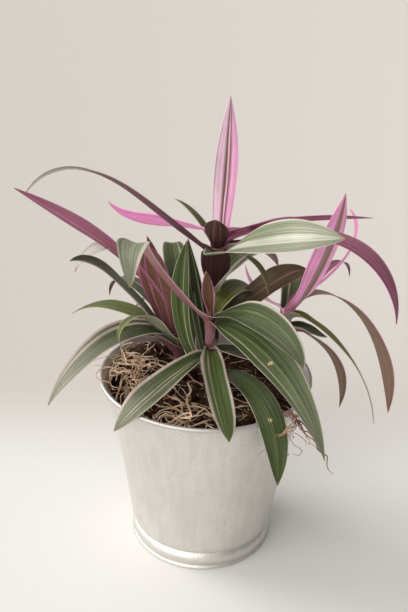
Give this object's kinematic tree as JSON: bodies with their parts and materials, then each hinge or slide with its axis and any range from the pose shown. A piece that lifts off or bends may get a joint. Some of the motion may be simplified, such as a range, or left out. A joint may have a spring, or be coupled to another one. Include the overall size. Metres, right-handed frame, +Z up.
{
  "type": "potted tradescantia",
  "caption": "Striped tradescantia with long arching green, cream and pink leaves, in a small tapered galvanised pot with bare soil and loose roots.",
  "frame": {"origin": "the middle of the pot's underside, on the surface that it stands on", "axes": "+Z up, -Y to the front that the picture shows, +X to its right"},
  "size_m": [0.2207, 0.1777, 0.2516],
  "materials": {
    "zinc": "satin",
    "soil": "matte",
    "root": "matte",
    "stem": "satin",
    "leaf_striped": "satin",
    "leaf_pale": "satin",
    "leaf_pink": "satin",
    "leaf_purple": "satin"
  },
  "bodies": {
    "root": {"pot_wall": "zinc", "pot_base": "zinc", "soil": "soil", "stem_front": "stem", "stem_left": "stem", "stem_crown": "stem", "stem_right": "stem", "front_big_right": "leaf_striped", "front_arch_right": "leaf_striped", "front_over_rim": "leaf_striped", "front_lower_left": "leaf_striped", "front_drip_right": "leaf_striped", "front_flopped": "leaf_pink", "front_spear": "leaf_pink", "front_upright": "leaf_striped", "front_round_back": "leaf_striped", "front_under_right": "leaf_striped", "front_tall_green": "leaf_striped", "front_sheath_left": "leaf_pale", "left_pink_fan": "leaf_pink", "left_pink_back": "leaf_pink", "left_long_left": "leaf_striped", "left_far_left": "leaf_purple", "left_dark_left": "leaf_striped", "left_cream_left": "leaf_pale", "left_olive_left": "leaf_striped", "left_curl": "leaf_striped", "left_under_left": "leaf_striped", "left_low_pale": "leaf_pale", "left_back_left": "leaf_striped", "left_back": "leaf_striped", "crown_tall_pink": "leaf_pink", "crown_pale_right": "leaf_pale", "crown_long_left": "leaf_purple", "crown_arch_right": "leaf_purple", "crown_heart": "leaf_purple", "crown_bract": "leaf_purple", "crown_magenta_left": "leaf_pink", "crown_small_back": "leaf_striped", "crown_pink_right": "leaf_purple", "crown_pink_low": "leaf_purple", "crown_cream_up": "leaf_pale", "crown_thin_down": "leaf_striped", "crown_dark_right": "leaf_purple", "crown_dark_back": "leaf_striped", "crown_back_left": "leaf_striped", "crown_back": "leaf_striped", "crown_back_right": "leaf_striped", "right_pink_up": "leaf_pink", "right_thin_down": "leaf_striped", "right_mauve_down": "leaf_purple", "right_grey_down": "leaf_purple", "right_short_right": "leaf_striped", "right_magenta_curl": "leaf_pink", "right_pink_left": "leaf_pink", "right_small_back": "leaf_purple", "right_back": "leaf_striped", "roots_left": "root", "roots_front": "root", "roots_right": "root"}
  },
  "joints": []
}
